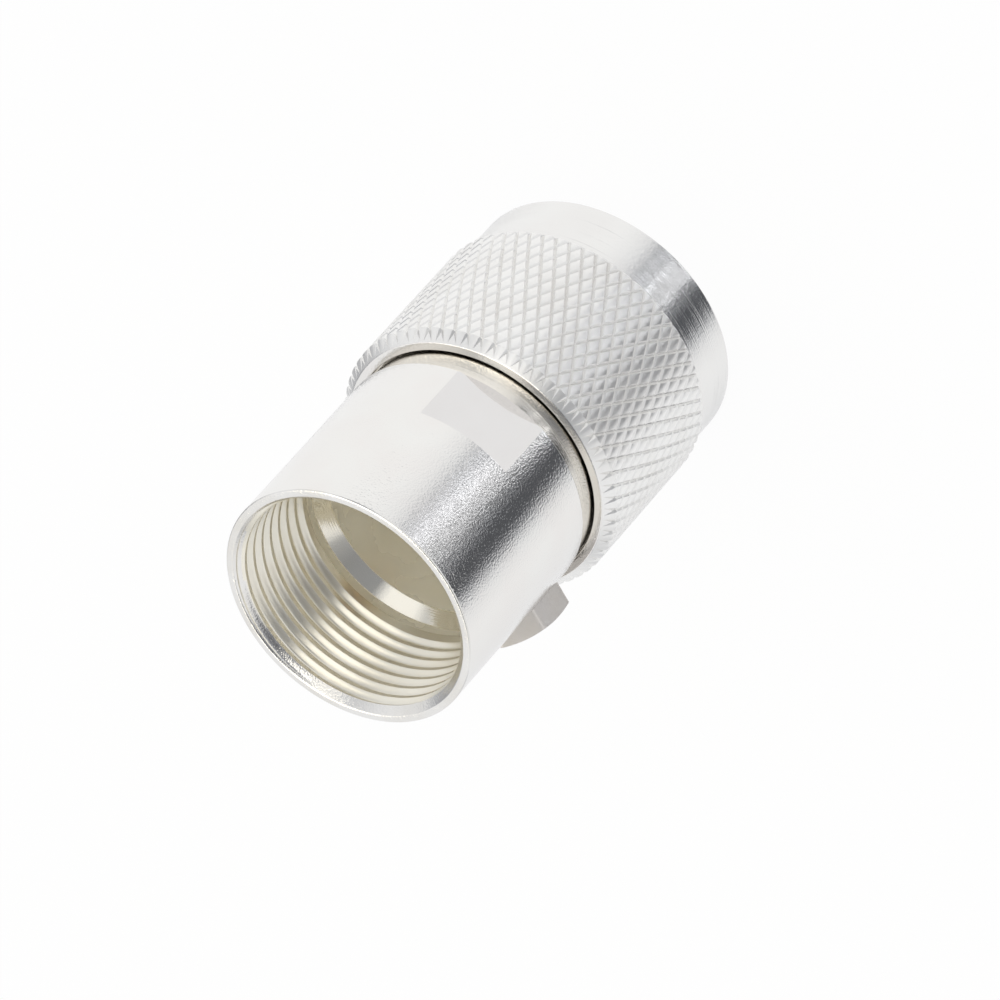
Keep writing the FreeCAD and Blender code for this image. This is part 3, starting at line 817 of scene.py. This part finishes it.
carve(contact_pin, [
    rod_cutter(CROSS_HOLE[1], CROSS_HOLE_START, hole_end, CROSS_HOLE[0], -math.pi / 2, sides=32),
])
smooth(contact_pin)
gold_plate = finish(
    "gold_plate", tone=(0.85, 0.64, 0.28, 1), deep_tone=(0.8, 0.57, 0.23, 1),
    gloss_roughness=0.12, dull_roughness=0.2, grain_size=0.3, grain_depth=0.06, ring_depth=0.6,
)
dress(contact_pin, "plug", "centre_contact", "gold_plate", gold_plate)

# The studio: a plain white table with hardly a shadow, a soft white surround with a few darker
# cards that the metal mirrors, and the camera.
FLOOR_GLOW = 0.95
floor_bm = bmesh.new()
bmesh.ops.create_grid(floor_bm, x_segments=1, y_segments=1, size=3)
floor = as_object(floor_bm, "floor")
floor.visible_glossy = False
white = bpy.data.materials.new("floor_white")
white.use_nodes = True
nodes, link = white.node_tree.nodes, white.node_tree.links.new
nodes["Principled BSDF"].inputs["Base Color"].default_value = (0.93, 0.93, 0.93, 1)
nodes["Principled BSDF"].inputs["Roughness"].default_value = 0.9
glow = add(nodes, "ShaderNodeEmission")
mix = add(nodes, "ShaderNodeMixShader")
rays = add(nodes, "ShaderNodeLightPath")
share = add(nodes, "ShaderNodeMath", operation="MULTIPLY")
share.inputs[1].default_value = FLOOR_GLOW
link(rays.outputs["Is Camera Ray"], share.inputs[0])
link(share.outputs["Value"], mix.inputs["Fac"])
link(nodes["Principled BSDF"].outputs["BSDF"], mix.inputs[1])
link(glow.outputs["Emission"], mix.inputs[2])
link(mix.outputs["Shader"], nodes["Material Output"].inputs["Surface"])
floor.data.materials.append(white)

# How bright the surround is by azimuth in degrees, in four layers from below to overhead. SPARKLE
# is where the lowest layer is broken up into spots.
BELOW = [
    (-180, 1.0), (-110, 0.95), (-70, 0.88), (-15, 0.96), (4, 0.86), (11, 0.6), (17, 0.2), (22, 0.09),
    (38, 0.1), (44, 0.35), (49, 0.6), (62, 0.68), (74, 0.5), (84, 0.5), (92, 0.82), (105, 0.95),
    (120, 1.0), (180, 1.0),
]
SPARKLE = [(-180, 0), (36, 0), (44, 1), (80, 1), (88, 0), (180, 0)]
HORIZON = [
    (-180, 0.85), (-160, 0.85), (-148, 0.4), (-132, 0.35), (-118, 0.88), (-62, 0.9), (-50, 0.5),
    (-38, 0.9), (104, 0.88), (116, 0.45), (130, 0.4), (144, 0.88), (180, 0.85),
]
ABOVE = [
    (-180, 0.92), (-100, 0.9), (10, 0.92), (22, 0.85), (30, 0.4), (50, 0.28), (88, 0.3), (97, 0.8),
    (102, 1.0), (130, 1.0), (142, 0.6), (152, 0.75), (180, 0.92),
]
OVERHEAD = [(-180, 1.9), (-80, 1.9), (-50, 0.15), (60, 0.15), (85, 1.6), (180, 1.9)]
SHADE_TINT = (-0.04, 0, 0.1)
world = bpy.data.worlds.new("studio")
bpy.context.scene.world = world
world.use_nodes = True
nodes, link = world.node_tree.nodes, world.node_tree.links.new
background = nodes["Background"]
place = add(nodes, "ShaderNodeTexCoord")
split = add(nodes, "ShaderNodeSeparateXYZ")
link(place.outputs["Generated"], split.inputs["Vector"])
around = add(nodes, "ShaderNodeMath", operation="ARCTAN2")
link(split.outputs["Y"], around.inputs[0])
link(split.outputs["X"], around.inputs[1])
around_share = spread(nodes, link, around.outputs["Value"], -math.pi, math.pi)


def level_ramp(stops):
    """A grey that follows the azimuth, and is the cooler the darker it is."""
    ramp = add(nodes, "ShaderNodeValToRGB")
    link(around_share, ramp.inputs["Fac"])
    elements = ramp.color_ramp.elements
    elements[0].position, elements[1].position = 0, 1
    for angle, _ in stops[1:-1]:
        elements.new((angle + 180) / 360)
    for element, (_, level) in zip(elements, stops):
        red, green, blue = [level * (1 + tint * (1 - level)) for tint in SHADE_TINT]
        element.color = (red, green, blue, 1)
    return ramp.outputs["Color"]


CLUTTER_RANGE = (0.5, 0.62)
CLUTTER_LEVELS = (0.25, 2.7)
clutter = add(nodes, "ShaderNodeTexNoise")
clutter.inputs["Scale"].default_value = 13
clutter.inputs["Detail"].default_value = 0
link(place.outputs["Generated"], clutter.inputs["Vector"])
clutter_level = add(nodes, "ShaderNodeMapRange")
clutter_level.inputs["From Min"].default_value = CLUTTER_RANGE[0]
clutter_level.inputs["From Max"].default_value = CLUTTER_RANGE[1]
clutter_level.inputs["To Min"].default_value = CLUTTER_LEVELS[0]
clutter_level.inputs["To Max"].default_value = CLUTTER_LEVELS[1]
link(clutter.outputs["Fac"], clutter_level.inputs["Value"])
masked = add(nodes, "ShaderNodeMix", data_type="FLOAT")
masked.inputs["A"].default_value = 1
link(level_ramp(SPARKLE), masked.inputs["Factor"])
link(clutter_level.outputs["Result"], masked.inputs["B"])
lower = add(nodes, "ShaderNodeMix", data_type="RGBA", blend_type="MULTIPLY")
lower.inputs["Factor"].default_value = 1
link(level_ramp(BELOW), lower.inputs["A"])
link(masked.outputs["Result"], lower.inputs["B"])


def layered(below, above, low, high):
    """Pass from one colour to another between two heights of the surround."""
    mix = add(nodes, "ShaderNodeMix", data_type="RGBA")
    link(spread(nodes, link, split.outputs["Z"], low, high), mix.inputs["Factor"])
    link(below, mix.inputs["A"])
    link(above, mix.inputs["B"])
    return mix.outputs["Result"]


surround = lower.outputs["Result"]
for layer, start, end in ((HORIZON, -0.5, -0.38), (ABOVE, 0.38, 0.52), (OVERHEAD, 0.76, 0.88)):
    surround = layered(surround, level_ramp(layer), start, end)
seen = add(nodes, "ShaderNodeLightPath")
backdrop = add(nodes, "ShaderNodeMix", data_type="RGBA")
backdrop.inputs["B"].default_value = (1, 1, 1, 1)
link(seen.outputs["Is Camera Ray"], backdrop.inputs["Factor"])
link(surround, backdrop.inputs["A"])
link(backdrop.outputs["Result"], background.inputs["Color"])
background.inputs["Strength"].default_value = 1.0

CAMERA_RIGHT = Vector((0.81349, 0.30164, -0.4972))
CAMERA_UP = Vector((-0.56679, 0.60258, -0.56182))
CAMERA_BACK = Vector((0.13005, 0.7389, 0.66113))
CAMERA_SHIFT = (9.925, 6.938)
CAMERA_DISTANCE = 642.2
FOCAL_PIXELS = 9876
PICTURE_PIXELS = 1000
SENSOR_WIDTH = 36
camera_data = bpy.data.cameras.new("camera")
camera_data.sensor_width = SENSOR_WIDTH
camera_data.lens = FOCAL_PIXELS * SENSOR_WIDTH / PICTURE_PIXELS
camera_data.clip_start = 0.01
camera = bpy.data.objects.new("camera", camera_data)
bpy.context.scene.collection.objects.link(camera)
spot = Vector((0, 0, rim)) + CAMERA_RIGHT * CAMERA_SHIFT[0] + CAMERA_UP * CAMERA_SHIFT[1]
spot = spot + CAMERA_BACK * CAMERA_DISTANCE
turn_to = Matrix((CAMERA_RIGHT, CAMERA_UP, CAMERA_BACK)).transposed().to_4x4()
camera.matrix_world = Matrix.Translation(spot * MM) @ turn_to
bpy.context.scene.camera = camera
bpy.context.scene.view_settings.view_transform = "Standard"
